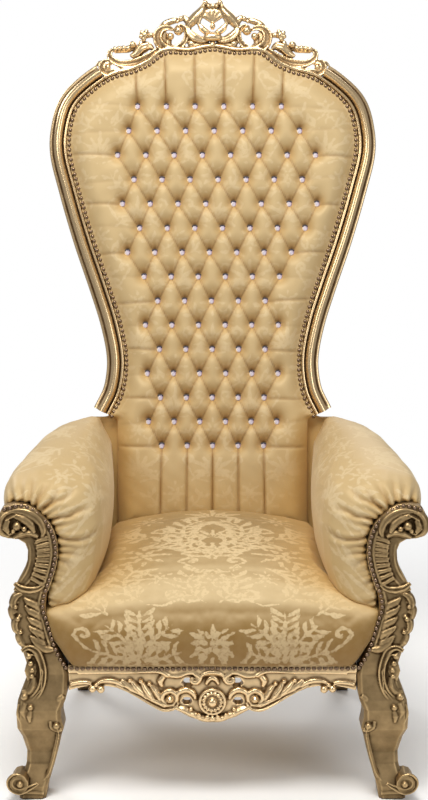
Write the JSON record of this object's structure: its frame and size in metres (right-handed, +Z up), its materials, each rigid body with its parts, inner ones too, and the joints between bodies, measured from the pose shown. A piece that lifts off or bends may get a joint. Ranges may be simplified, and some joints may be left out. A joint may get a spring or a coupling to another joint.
{
  "type": "throne",
  "caption": "Tall carved and gilded throne with a deep-buttoned damask back, rolled scroll arms, a sprung seat and cabriole front legs.",
  "frame": {"origin": "on the floor, in the middle of the bounding box of the throne", "axes": "+Z up from the feet to the crest, -Y the way the throne faces, +X towards the right of the picture"},
  "size_m": [0.9426, 0.8578, 1.7984],
  "materials": {
    "gilt_wood": "antique gilding over carved wood",
    "damask": "woven damask with a soft sheen",
    "bronze_nails": "antique bronze"
  },
  "bodies": {
    "root": {"stile_right": "gilt_wood", "stile_left": "gilt_wood", "crest_rail": "gilt_wood", "back_cushion": "damask", "back_panel": "damask", "nail_trim_back": "bronze_nails", "arm_front_right": "gilt_wood", "arm_front_left": "gilt_wood", "front_leg_right": "gilt_wood", "front_leg_left": "gilt_wood", "nail_trim_arm_right": "bronze_nails", "nail_trim_arm_left": "bronze_nails", "front_apron": "gilt_wood", "nail_trim_seat": "bronze_nails", "seat_cushion": "damask", "arm_right": "damask", "arm_left": "damask", "side_rail_right": "gilt_wood", "side_rail_left": "gilt_wood", "rear_leg_right": "gilt_wood", "rear_leg_left": "gilt_wood", "back_rail": "gilt_wood"}
  },
  "joints": []
}
